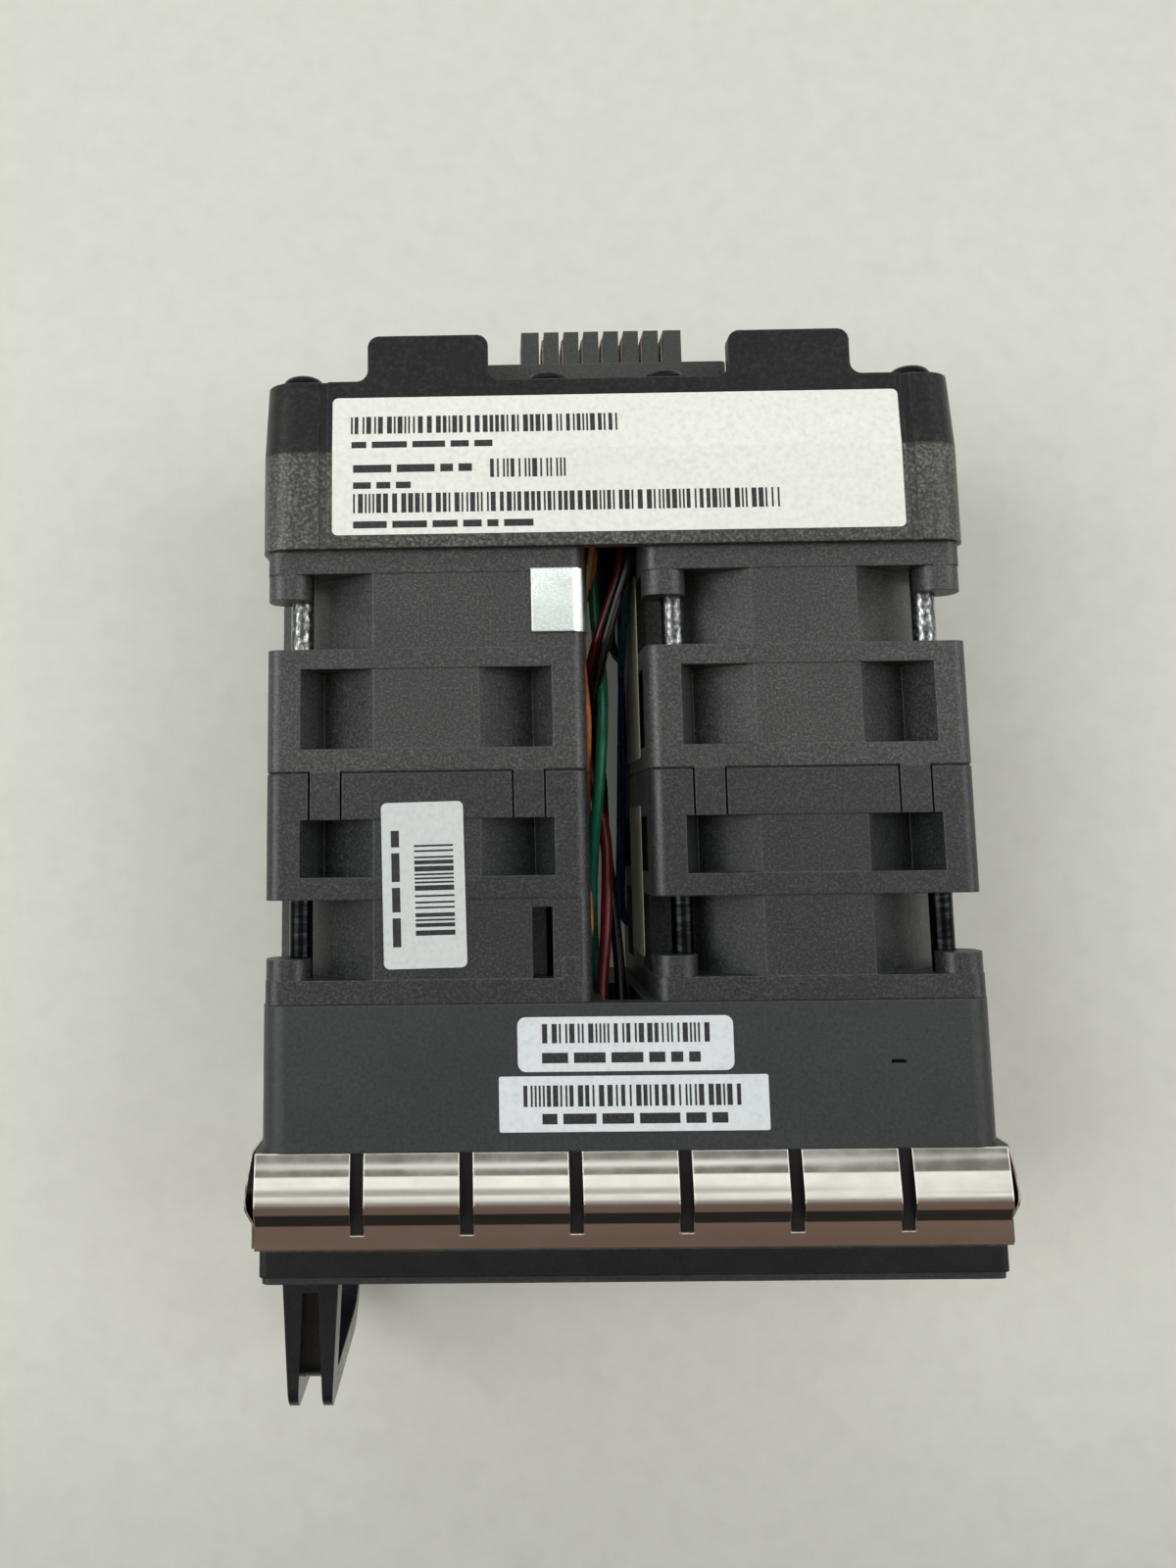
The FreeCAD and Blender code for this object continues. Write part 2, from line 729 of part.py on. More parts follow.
def front_bezel():
    """Moulded duct piece: body, gasket zone and flange, with the lamp lead trough."""
    body = rounded_block(bezel_width, bezel_height, bezel_body_y, -fan_depth,
                         bezel_edge_radius, axis_z)
    zone = rounded_block(gasket_zone_width, gasket_zone_height, zone_y, bezel_body_y,
                         gasket_zone_edge_radius, axis_z)
    flange = rounded_block(bezel_width, flange_height, flange_y, zone_y, flange_edge_radius,
                           axis_z)
    solid = fuse([body, zone, flange])
    for side in (-1, 1):
        solid = solid.cut(rod(bore_radius, flange_y, -fan_depth, side * column_x, axis_z))
    half = trough_height / 2
    trough_back_y = flange_y + trough_depth
    trough = box(wire_slot_width / 2, lamp_x - lamp_body_width / 2, flange_y,
                 trough_back_y + trough_wall, trough_z - half, trough_z + half)
    groove = box(-wire_slot_width / 2, lamp_x, flange_y, trough_back_y,
                 trough_z - half + trough_wall, trough_z + half - trough_wall)
    slot = box(-wire_slot_width / 2, wire_slot_width / 2, flange_y, -fan_depth,
               axis_z, trough_z + half - trough_wall)
    slit_x = column_x + slit_from_column
    slit_y = -fan_depth - slit_from_fan
    slit = box(slit_x - slit_length / 2, slit_x + slit_length / 2, slit_y - slit_width / 2,
               slit_y + slit_width / 2, axis_z + bezel_height / 2 - slit_length,
               axis_z + bezel_height / 2)
    solid = solid.fuse(trough).cut(groove).cut(slot).cut(lamp_body(sliding_gap)).cut(slit)
    holes = [rod(screw_radius + seat_gap, -fan_depth - screw_bite - hole_gap, -fan_depth, x, z)
             for x, z in fan_hole_places()]
    recesses = [rod(handle_screw_head_radius + hole_gap, flange_y,
                    flange_y + handle_screw_head_height + hole_gap, x, z)
                for x, z in handle_screw_places()]
    return solid.cut(Part.makeCompound(holes + recesses)).removeSplitter()


def hex_places():
    """Centres (x, z) of the air holes: one round field of hexagons for each column."""
    places = []
    reach = int(hex_field_radius / hex_pitch) + 1
    row_step = hex_pitch * math.sqrt(0.75)
    foot_edge = handle_x + handle_width / 2 + hex_flats / 2
    for side in (-1, 1):
        for row in range(-reach, reach + 1):
            for column in range(-2 * reach, 2 * reach + 1):
                x = (column + (row % 2) / 2) * hex_pitch
                z = row * row_step
                clear_of_handle = side * column_x + x > foot_edge
                if math.hypot(x, z) <= hex_field_radius and clear_of_handle:
                    places.append((side * column_x + x, axis_z + z))
    return places


def front_plate():
    """Steel plate with the air holes, the lamp hole and the handle screw holes."""
    plate = rounded_block(bezel_width - 2 * plate_inset, flange_height - 2 * plate_inset,
                          plate_y, flange_y, flange_edge_radius, axis_z)
    corner = hex_flats / math.sqrt(3)
    cuts = []
    for x, z in hex_places():
        points = [V(x + corner * math.sin(math.radians(60 * k)), plate_y,
                    z + corner * math.cos(math.radians(60 * k))) for k in range(6)]
        cuts.append(extrude_profile(points, V(0, plate_thickness, 0)))
    cuts.append(rod(lamp_radius + sliding_gap, plate_y, flange_y, lamp_x, lamp_z))
    for x, z in handle_screw_places():
        cuts.append(rod(handle_screw_radius + hole_gap, plate_y, flange_y, x, z))
    return plate.cut(Part.makeCompound(cuts))


def status_lamp():
    """Lamp with a dome in front of the plate."""
    stem = rod(lamp_radius, plate_y, flange_y, lamp_x, lamp_z)
    ball = (lamp_flange_radius ** 2 + lamp_dome_height ** 2) / (2 * lamp_dome_height)
    sphere = Part.makeSphere(ball, V(lamp_x, plate_y - lamp_dome_height + ball, lamp_z))
    reach = 2 * ball
    dome = sphere.common(box(lamp_x - reach, lamp_x + reach, plate_y - reach, plate_y,
                             lamp_z - reach, lamp_z + reach))
    return fuse([lamp_body(0.0), stem, dome])


# Spring-finger gaskets

def finger_gasket(width, finger_count, apex_height):
    """Strip of sprung fingers on a surface at z = 0, along X, with its free ends at +Y."""
    rise_y = gasket_strip_length + gasket_root_length
    crest_y = rise_y + gasket_rise_length
    fall_y = crest_y + gasket_crest_length
    slope_y = fall_y + gasket_fall_length
    x0 = -width / 2
    shoulder = apex_height * gasket_shoulder
    knee = apex_height * gasket_knee
    bends = [V(x0, 0, gasket_sheet), V(x0, rise_y, gasket_sheet),
             V(x0, crest_y, shoulder), V(x0, fall_y, shoulder), V(x0, slope_y, knee),
             V(x0, gasket_zone_length, gasket_rear_lift + gasket_sheet)]
    apex = V(x0, (crest_y + fall_y) / 2, apex_height)
    upper = [Part.LineSegment(bends[0], bends[1]).toShape(),
             Part.LineSegment(bends[1], bends[2]).toShape(),
             Part.Arc(bends[2], apex, bends[3]).toShape(),
             Part.LineSegment(bends[3], bends[4]).toShape(),
             Part.LineSegment(bends[4], bends[5]).toShape()]
    down = V(0, 0, -gasket_sheet)
    lower = [moved(edge, 0, 0, -gasket_sheet) for edge in upper]
    ends = [Part.LineSegment(point, point + down).toShape() for point in (bends[0], bends[-1])]
    profile = Part.Wire(Part.__sortEdges__(upper + lower + ends))
    strip = Part.Face(profile).extrude(V(width, 0, 0))
    finger_width = (width - (finger_count - 1) * finger_slot_width) / finger_count
    slots = []
    for index in range(1, finger_count):
        right = x0 + index * (finger_width + finger_slot_width)
        slots.append(box(right - finger_slot_width, right, gasket_strip_length,
                         gasket_zone_length, -apex_height, 2 * apex_height))
    return strip.cut(Part.makeCompound(slots))


def gaskets():
    """The four strips round the bezel."""
    side_width = gasket_zone_height - 2 * side_gasket_margin
    top = finger_gasket(gasket_width, top_finger_count, top_gasket_apex)
    side = finger_gasket(side_width, side_finger_count, side_gasket_apex)
    high = gasket_zone_height / 2
    wide = gasket_zone_width / 2
    strips = {"gasket_top": (top, 0, high), "gasket_right": (side, 90, wide),
              "gasket_bottom": (top, 180, high), "gasket_left": (side, 270, wide)}
    return {name: moved(turned(moved(strip, 0, zone_y, lift), angle), 0, 0, axis_z)
            for name, (strip, angle, lift) in strips.items()}


# Pull handle

def handle_loop(top, front, low, root, corner, tip):
    """Side view of a loop in the handle: straight top and front, round at both front corners."""
    x = handle_x - handle_width / 2
    near = 1 - math.sqrt(0.5)
    low_front = V(x, front, low + corner)
    low_back = V(x, front + corner, low)
    corner_middle = V(x, front + corner * near, low + corner * near)
    high_front = V(x, front, top - tip)
    high_back = V(x, front + tip, top)
    tip_middle = V(x, front + tip * near, top - tip * near)
    edges = [Part.LineSegment(V(x, root, top), high_back).toShape(),
             Part.Arc(high_back, tip_middle, high_front).toShape(),
             Part.LineSegment(high_front, low_front).toShape(),
             Part.Arc(low_front, corner_middle, low_back).toShape(),
             Part.LineSegment(low_back, V(x, root, low)).toShape(),
             Part.LineSegment(V(x, root, low), V(x, root, top)).toShape()]
    return Part.Face(Part.Wire(edges)).extrude(V(handle_width, 0, 0))


def handle_wedge(root_width, tip_width, root_y):
    """Upright prism between two widths, from root_y to the tip of the handle."""
    low = handle_top_z - 2 * handle_height
    share = (plate_y - root_y) / handle_reach
    root_half = (root_width + (tip_width - root_width) * share) / 2
    tip_half = tip_width / 2
    plan = [V(handle_x - root_half, root_y, low), V(handle_x + root_half, root_y, low),
            V(handle_x + tip_half, front_end_y, low), V(handle_x - tip_half, front_end_y, low)]
    return extrude_profile(plan, V(0, 0, 3 * handle_height))


def pull_handle():
    """Finger loop drawn in towards its tip, with a groove all along its rim."""
    low = handle_top_z - handle_height
    outer = handle_loop(handle_top_z, front_end_y, low, plate_y, handle_corner,
                        handle_tip_radius)
    hole = handle_loop(handle_top_z - handle_top_band, front_end_y + handle_front_band,
                       low + handle_low_band, plate_y - handle_foot, handle_hole_corner,
                       handle_hole_tip)
    inset = handle_groove_depth
    core = handle_loop(handle_top_z - inset, front_end_y + inset, low + inset / 2, plate_y,
                       handle_corner, handle_tip_radius)
    groove = outer.cut(core).common(
        handle_wedge(handle_groove_root, handle_groove_tip, plate_y - handle_foot))
    solid = outer.common(handle_wedge(handle_width, handle_tip_width, plate_y))
    solid = solid.cut(hole).cut(groove)
    for x, z in handle_screw_places():
        solid = solid.cut(rod(handle_screw_radius + seat_gap, plate_y - handle_screw_bite,
                              plate_y, x, z))
    return solid


def handle_screws():
    """Two screws from behind the front plate."""
    screws = []
    for x, z in handle_screw_places():
        shank = rod(handle_screw_radius, plate_y - handle_screw_bite, flange_y, x, z)
        head = rod(handle_screw_head_radius, flange_y, flange_y + handle_screw_head_height, x, z)
        screws.append(shank.fuse(head).removeSplitter())
    return screws


# Lead clip

def lead_clip():
    """Bent sheet over the inner top edge of the left rear fan."""
    top = fan_top_z + seat_gap
    side = -fan_gap / 2 + seat_gap
    inner_radius = frame_edge_radius
    outer_radius = inner_radius + clip_sheet
    centre_x = side - inner_radius
    centre_z = top - inner_radius
    left = side + clip_sheet - clip_width
    low = top - clip_drop
    y0 = fan_depth - clip_from_rear - clip_length
    near = math.sqrt(0.5)

    def bend(radius):
        return Part.Arc(V(centre_x, y0, centre_z + radius),
                        V(centre_x + radius * near, y0, centre_z + radius * near),
                        V(centre_x + radius, y0, centre_z)).toShape()

    def run(start, end):
        return Part.LineSegment(V(start[0], y0, start[1]), V(end[0], y0, end[1])).toShape()

    outer_top = top + clip_sheet
    outer_side = side + clip_sheet
    edges = [run((left, top), (centre_x, top)), bend(inner_radius),
             run((side, centre_z), (side, low)), run((side, low), (outer_side, low)),
             run((outer_side, low), (outer_side, centre_z)), bend(outer_radius),
             run((centre_x, outer_top), (left, outer_top)), run((left, outer_top), (left, top))]
    profile = Part.Wire(Part.__sortEdges__(edges))
    return Part.Face(profile).extrude(V(0, clip_length, 0))


# Leads: straight runs joined by arcs as wide as the runs allow

def lead_path(points):
    """Wire along the route, its length and its bend radii."""
    edges = []
    radii = []
    last = points[0]
    for before, corner, after in zip(points, points[1:], points[2:]):
        arriving = corner - before
        leaving = after - corner
        turn = arriving.getAngle(leaving)
        trim = bend_share * min(arriving.Length, leaving.Length)
        radius = trim / math.tan(turn / 2)
        arriving.normalize()
        leaving.normalize()
        start = corner - arriving * trim
        end = corner + leaving * trim
        inward = leaving - arriving
        inward.normalize()
        middle = corner + inward * (radius / math.cos(turn / 2) - radius)
        edges.append(Part.LineSegment(last, start).toShape())
        edges.append(Part.Arc(start, middle, end).toShape())
        radii.append(radius)
        last = end
    edges.append(Part.LineSegment(last, points[-1]).toShape())
    return Part.Wire(edges), radii


def lead(name, radius, route):
    """Round lead along a route of (x, y, z) points."""
    points = [V(*point) for point in route]
    path, radii = lead_path(points)
    direction = points[1] - points[0]
    section = Part.Wire(Part.makeCircle(radius, points[0], direction))
    solid = path.makePipeShell([section], True, False)
    expected = math.pi * radius ** 2 * path.Length
    print(name, "length %.1f mm" % path.Length, "smallest radius %.1f mm" % min(radii),
          "volume ratio %.4f" % (solid.Volume / expected))
    return solid


def in_gap(across, along, up):
    """Point between the columns, in shares of half the gap, a fan's length and half its height."""
    return across * fan_gap / 2, along * fan_depth, axis_z + up * fan_size / 2


def from_tail(across, up):
    """Straight start of a lead on the connector tail, in shares of the tail's half sizes."""
    x = across * connector_tail_width / 2
    z = connector_middle_z + up * connector_tail_height / 2
    return [(x, tail_y, z), (x, tail_y - tail_run, z)]


def from_fan(side, along, up):
    """Straight start of a lead on the inner side of a fan."""
    x, y, z = in_gap(side, along, up)
    return [(x, y, z), (x - side * fan_lead_run, y, z)]


def lamp_leads():
    """Red, green and black leads from the connector tail to the status lamp."""
    trough_y = flange_y + trough_depth / 2
    lamp_side = lamp_x - lamp_body_width / 2
    step = 2 * lamp_lead_radius + sliding_gap / 2
    starts = {"red": (0.257, 0.345), "green": (-0.114, -0.200), "black": (0.429, 0.745)}
    routes = {
        "red": [(0.000, 0.964, 0.440), (-0.507, 0.643, 0.460), (-0.747, 0.357, 0.440),
                (-0.453, 0.036, 0.455), (-0.213, -0.286, 0.440), (-0.240, -0.571, 0.455),
                (-0.400, -0.893, 0.460), (-0.320, -1.214, 0.565), (-0.160, -1.536, 0.715)],
        "green": [(-0.453, 1.000, 0.285), (-0.720, 0.714, 0.310), (-0.587, 0.429, 0.295),
                  (-0.427, 0.143, 0.310), (-0.587, -0.179, 0.295), (-0.747, -0.500, 0.310),
                  (-0.560, -0.786, 0.295), (-0.320, -1.107, 0.365), (-0.240, -1.500, 0.615)],
        "black": [(0.107, 0.964, 0.575), (-0.320, 0.643, 0.560), (-0.693, 0.286, 0.575),
                  (-0.587, -0.036, 0.560), (-0.240, -0.286, 0.575), (0.187, -0.536, 0.560),
                  (0.267, -0.821, 0.575), (0.053, -1.179, 0.665), (-0.133, -1.536, 0.805)],
    }
    levels = {"red": 0, "green": -1, "black": 1}
    leads = {}
    for colour, route in routes.items():
        z = trough_z + levels[colour] * step
        points = from_tail(*starts[colour]) + [in_gap(*point) for point in route]
        points += [(lamp_turn_x, trough_y + lamp_turn_run, z), (lamp_turn_x, trough_y, z),
                   (lamp_side, trough_y, z)]
        leads["lamp_lead_" + colour] = [lead(colour, lamp_lead_radius, points)]
    return leads


def fan_leads():
    """Thin leads from the inner sides of the fans to the connector tail."""
    routes = {
        "orange": [
            (-1, -0.750, 0.685,
             [(-0.693, -0.629, 0.690), (-0.827, -0.357, 0.680), (-0.747, -0.036, 0.695),
              (-0.827, 0.286, 0.680), (-0.720, 0.607, 0.685), (-0.693, 0.929, 0.655)],
             (-0.800, 0.818)),
            (-1, 0.464, 0.135,
             [(-0.693, 0.586, 0.140), (-0.773, 0.786, 0.175), (-0.800, 1.036, 0.225)],
             (-0.800, -0.345))],
        "yellow": [
            (-1, -0.750, 0.795,
             [(-0.693, -0.629, 0.785), (-0.800, -0.357, 0.770), (-0.827, -0.036, 0.780),
              (-0.747, 0.286, 0.765), (-0.690, 0.607, 0.765), (-0.640, 0.929, 0.735)],
             (-0.171, 0.891)),
            (-1, 0.464, 0.025,
             [(-0.693, 0.586, 0.030), (-0.800, 0.786, 0.065), (-0.773, 1.036, 0.125)],
             (-0.800, -0.709))],
        "blue": [
            (1, -0.750, -0.665,
             [(0.640, -0.629, -0.645), (0.587, -0.357, -0.565), (0.533, -0.036, -0.415),
              (0.427, 0.286, -0.265), (0.480, 0.607, -0.105), (0.507, 0.929, 0.055)],
             (0.514, -0.673)),
            (1, 0.643, -0.665,
             [(0.640, 0.757, -0.635), (0.773, 0.911, -0.465), (0.800, 1.071, -0.165)],
             (0.800, -0.236))],
        "teal": [
            (1, -0.750, -0.785,
             [(0.693, -0.629, -0.770), (0.773, -0.357, -0.705), (0.800, -0.036, -0.575),
              (0.800, 0.286, -0.405), (0.773, 0.571, -0.145), (0.800, 0.821, 0.205),
              (0.800, 1.071, 0.485)],
             (0.800, 0.782)),
            (1, 0.643, -0.785,
             [(0.587, 0.757, -0.770), (0.320, 0.911, -0.655), (0.160, 1.107, -0.365)],
             (0.114, -0.891))],
    }
    leads = {}
    for colour, pair in routes.items():
        solids = []
        for side, along, up, route, tail_end in pair:
            points = from_fan(side, along, up) + [in_gap(*point) for point in route]
            points += from_tail(*tail_end)[::-1]
            solids.append(lead(colour, fan_lead_radius, points))
        leads["fan_leads_" + colour] = solids
    return leads


# Assembly

def place_fan(shape, side, is_rear):
    """Fan piece moved from its own axes to its place in the module."""
    placed = turned(shape, 180) if side > 0 else shape.copy()
    if is_rear:
        placed = placed.mirror(V(0, 0, 0), Y_AXIS)
        return moved(placed, side * column_x, fan_depth, axis_z)
    return moved(placed, side * column_x, -fan_depth, axis_z)


def fan_pieces(is_rear):
    """Pieces of one fan in its own axes."""
    lengths = rear_fan_lengths if is_rear else front_fan_lengths
    blades = rear_blade_count if is_rear else front_blade_count
    bend = -1 if is_rear else 1
    return {"frame": [fan_frame(lengths, is_rear)], "impeller": [impeller(blades, bend)],
            "shaft": [shaft()], "rotor_yoke": [rotor_yoke()], "ring_magnet": [ring_magnet()],
            "bearings": bearings(), "stator_core": [stator_core()], "coils": coils(),
            "circuit_board": [circuit_board()]}


def all_nodes():
    """Every node of the module as a list of separate solids."""
    nodes = {}
    for is_rear, end in ((True, "rear"), (False, "front")):
        pieces = fan_pieces(is_rear)
        for side, column in ((-1, "left"), (1, "right")):
            for piece, solids in pieces.items():
                name = "_".join((column, end, piece))
                nodes[name] = [place_fan(solid, side, is_rear) for solid in solids]
    nodes["rear_housing"] = [rear_housing()]
    nodes["connector_body"] = [connector_body()]
    nodes["connector_contacts"] = connector_contacts()
    nodes["fan_screws"] = [fan_screw(x, z) for x, z in fan_hole_places()]
    nodes["lead_clip"] = [lead_clip()]
    nodes["front_bezel"] = [front_bezel()]
    nodes["front_plate"] = [front_plate()]
    nodes["status_lamp"] = [status_lamp()]
    nodes["pull_handle"] = [pull_handle()]
    nodes["handle_screws"] = handle_screws()
    for name, strip in gaskets().items():
        nodes[name] = [strip]
    nodes.update(lamp_leads())
    nodes.update(fan_leads())
    return nodes


def export_nodes():
    """Write each node as one file, with the origin under the middle of the module."""
    os.makedirs("parts", exist_ok=True)
    for name, solids in all_nodes().items():
        placed = [moved(solid, 0, -middle_y, 0) for solid in solids]
        shape = placed[0] if len(placed) == 1 else Part.makeCompound(placed)
        shape.exportStep("parts/%s.step" % name)


export_nodes()
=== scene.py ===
import json
import math
import random

import bmesh
import bpy
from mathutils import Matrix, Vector


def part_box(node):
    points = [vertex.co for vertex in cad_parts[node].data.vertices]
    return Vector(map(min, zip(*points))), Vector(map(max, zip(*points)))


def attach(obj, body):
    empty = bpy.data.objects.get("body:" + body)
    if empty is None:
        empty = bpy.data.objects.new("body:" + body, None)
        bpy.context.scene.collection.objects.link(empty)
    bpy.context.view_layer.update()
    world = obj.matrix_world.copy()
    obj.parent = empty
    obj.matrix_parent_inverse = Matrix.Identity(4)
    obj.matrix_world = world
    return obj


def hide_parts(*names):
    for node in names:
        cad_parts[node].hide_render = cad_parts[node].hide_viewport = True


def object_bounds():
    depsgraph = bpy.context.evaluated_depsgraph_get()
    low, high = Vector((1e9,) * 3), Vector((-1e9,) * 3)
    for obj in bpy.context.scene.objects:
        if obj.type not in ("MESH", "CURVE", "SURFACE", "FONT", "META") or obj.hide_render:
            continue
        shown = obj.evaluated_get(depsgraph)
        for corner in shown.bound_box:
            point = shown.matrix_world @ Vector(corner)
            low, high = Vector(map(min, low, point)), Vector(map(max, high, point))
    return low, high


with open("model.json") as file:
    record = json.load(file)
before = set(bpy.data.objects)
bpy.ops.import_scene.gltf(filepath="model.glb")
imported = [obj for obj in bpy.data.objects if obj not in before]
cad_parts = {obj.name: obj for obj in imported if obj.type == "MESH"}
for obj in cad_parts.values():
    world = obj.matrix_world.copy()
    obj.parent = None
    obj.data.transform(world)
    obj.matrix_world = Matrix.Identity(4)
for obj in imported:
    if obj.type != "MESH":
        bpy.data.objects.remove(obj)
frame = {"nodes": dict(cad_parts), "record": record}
cad_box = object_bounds()
scene = bpy.context.scene
scene.view_settings.view_transform = "Standard"

MM = 0.001
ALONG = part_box("left_front_frame")[1][1] / MM  # plane where the front and rear fans meet, along Y, mm


def at(x, y, z):
    """A point in module millimetres as a point in the shared frame."""
    return Vector((x * MM, (y + ALONG) * MM, z * MM))


# ---------------------------------------------------------------- camera

photo_width, photo_height = 1200, 1600
focal_pixels = 1350
centre_pixel = (484.9, 655.6)

camera_data = bpy.data.cameras.new("camera")
camera_data.sensor_width = 36
camera_data.lens = focal_pixels * camera_data.sensor_width / photo_height
camera_data.shift_x = (photo_width / 2 - centre_pixel[0]) / photo_height
camera_data.shift_y = (centre_pixel[1] - photo_height / 2) / photo_height
camera_data.clip_start = 0.01
camera = bpy.data.objects.new("camera", camera_data)
camera.location = at(-15.335, -7.016, 205.245)
camera.rotation_euler = (0.13923, 0.01524, -0.01297)
scene.collection.objects.link(camera)
scene.camera = camera


# ---------------------------------------------------------------- node helpers

def linear(colour):
    """An sRGB colour of 0 to 255 as the linear RGBA a shader takes."""
    parts = [c / 255 for c in colour]
    return tuple(c / 12.92 if c <= 0.04045 else ((c + 0.055) / 1.055) ** 2.4 for c in parts) + (1.0,)


def node(tree, kind, values=None, **settings):
    """A new node, with its settings, and its sockets set or linked."""
    made = tree.nodes.new(kind)
    for key, value in settings.items():
        setattr(made, key, value)
    for key, value in (values or {}).items():
        if isinstance(value, bpy.types.NodeSocket):
            tree.links.new(value, made.inputs[key])
        else:
            made.inputs[key].default_value = value
    return made


def stretched(tree, scale):
    place = node(tree, "ShaderNodeTexCoord").outputs["Object"]
    return node(tree, "ShaderNodeMapping", {"Vector": place, "Scale": scale}).outputs["Vector"]


def noise(tree, vector, scale, detail=4.0, rough=0.6):
    values = {"Vector": vector, "Scale": scale, "Detail": detail, "Roughness": rough}
    return node(tree, "ShaderNodeTexNoise", values).outputs["Fac"]


def ranged(tree, value, low, high, first, last):
    values = {"Value": value, "From Min": low, "From Max": high, "To Min": first, "To Max": last}
    return node(tree, "ShaderNodeMapRange", values).outputs["Result"]


def product(tree, one, other):
    return node(tree, "ShaderNodeMath", {0: one, 1: other}, operation="MULTIPLY").outputs["Value"]


def mixed(tree, share, one, other):
    made = node(tree, "ShaderNodeMix", {0: share, 6: one, 7: other}, data_type="RGBA")
    return made.outputs[2]


def mixed_number(tree, share, one, other):
    made = node(tree, "ShaderNodeMix", {0: share, 2: one, 3: other}, data_type="FLOAT")
    return made.outputs[0]


def shaded(tree, value, shades, stops):
    ramp = node(tree, "ShaderNodeValToRGB", {"Fac": value})
    ramp.color_ramp.elements.new(0.5)
    for element, stop, shade in zip(ramp.color_ramp.elements, stops, shades):
        element.position = stop
        element.color = linear(shade)
    return ramp.outputs["Color"]


def zone(tree, axis, start, end):
    """0 before start and 1 after end, measured in mm along an axis of the shared frame."""
    place = node(tree, "ShaderNodeTexCoord").outputs["Object"]
    value = node(tree, "ShaderNodeSeparateXYZ", {"Vector": place}).outputs[axis]
    return ranged(tree, value, start * MM, end * MM, 0.0, 1.0)


def layer(tree, shades, grain, rough, depth, stretch=(1, 1, 1), stops=(0.32, 0.5, 0.7), detail=4.0):
    """Colour, roughness and height of one finish. grain is marks per metre, depth is in mm."""
    fine = noise(tree, stretched(tree, stretch), grain, detail)
    broad = noise(tree, stretched(tree, (1, 1, 1)), 70.0, 3.0)
    colour = shaded(tree, fine, shades, stops)
    colour = mixed(tree, ranged(tree, broad, 0.35, 0.7, 0.0, 0.35), colour, linear(shades[0]))
    patch = noise(tree, stretched(tree, (1, 1, 1)), 230.0, 3.0)
    gloss = ranged(tree, patch, 0.3, 0.7, rough[0], rough[1])
    height = ranged(tree, fine, 0.0, 1.0, 0.0, depth * MM)
    return colour, gloss, height


def material(name, layers, mask=None, edge=None, radius=0.25, scuff_and_glint_amount=0.6, sockets=None):
    """A procedural material of one finish, or of several that meet along an axis, with an edge colour: wear
    on most parts, a painted highlight round the screw rims.
    """
    made = bpy.data.materials.new(name)
    made.use_nodes = True
    tree = made.node_tree
    shader = tree.nodes["Principled BSDF"]
    colour, gloss, height = layer(tree, **layers[0])
    for index, other in enumerate(layers[1:]):
        share = zone(tree, mask[0], *mask[1 + 2 * index:3 + 2 * index])
        other_colour, other_gloss, other_height = layer(tree, **other)
        colour = mixed(tree, share, colour, other_colour)
        gloss = mixed_number(tree, share, gloss, other_gloss)
        height = mixed_number(tree, share, height, other_height)
    bevel = node(tree, "ShaderNodeBevel", {"Radius": radius * MM}, samples=4)
    # Edge colour: wear on most parts, a painted highlight on the screws.
    if edge:
        plain = node(tree, "ShaderNodeNewGeometry").outputs["Normal"]
        values = {0: bevel.outputs["Normal"], 1: plain}
        turn = node(tree, "ShaderNodeVectorMath", values, operation="DOT_PRODUCT").outputs["Value"]
        scuff_and_glint = ranged(tree, noise(tree, stretched(tree, (1, 1, 1)), 900.0), 0.35, 0.65, 0.0, scuff_and_glint_amount)
        share = product(tree, ranged(tree, turn, 0.985, 0.8, 0.0, 1.0), scuff_and_glint)
        colour = mixed(tree, share, colour, linear(edge))
    values = {"Strength": 1.0, "Distance": 1.0, "Height": height, "Normal": bevel.outputs["Normal"]}
    bump = node(tree, "ShaderNodeBump", values)
    tree.links.new(colour, shader.inputs["Base Color"])
    tree.links.new(gloss, shader.inputs["Roughness"])
    tree.links.new(bump.outputs["Normal"], shader.inputs["Normal"])
    for key, value in (sockets or {}).items():
        shader.inputs[key].default_value = value
    return made


def metal(name, shades, rough, grain=2500.0, depth=0.004, stretch=(1, 1, 1), detail=4.0, edge=None):
    finish = dict(shades=shades, grain=grain, rough=rough, depth=depth, stretch=stretch, detail=detail)
    return material(name, [finish], edge=edge, sockets={"Metallic": 1.0})


def plastic(name, shades, rough, grain=2600.0, depth=0.012, edge=None):
    finish = dict(shades=shades, grain=grain, rough=rough, depth=depth)
    return material(name, [finish], edge=edge)


def sleeve(name, colour):
    """Soft insulation of a lead, with the faint drag marks of its extrusion."""
    shades = [tuple(c * k for c in colour) for k in (0.8, 1.0, 1.12)]
    finish = dict(shades=shades, grain=1800.0, rough=(0.22, 0.34), depth=0.006, stretch=(1, 0.15, 1))
    return material(name, [finish], radius=0.05)


# ---------------------------------------------------------------- finishes

# One housing plastic in two tones: the level top is painted lighter as painted light, the falling rear end
# darker as painted shade.
housing_front_lit = dict(shades=((46, 46, 43), (72, 72, 68), (118, 118, 110)), grain=2400.0, rough=(0.3, 0.42),
                     depth=0.035, stops=(0.36, 0.5, 0.68))
housing_rear_shaded = dict(shades=((10, 11, 11), (17, 19, 18), (44, 46, 43)), grain=1900.0, rough=(0.3, 0.42),
                    depth=0.035)
bezel_flange = dict(shades=((17, 18, 19), (21, 22, 23), (29, 30, 31)), grain=2400.0, rough=(0.34, 0.44),
                    depth=0.01)
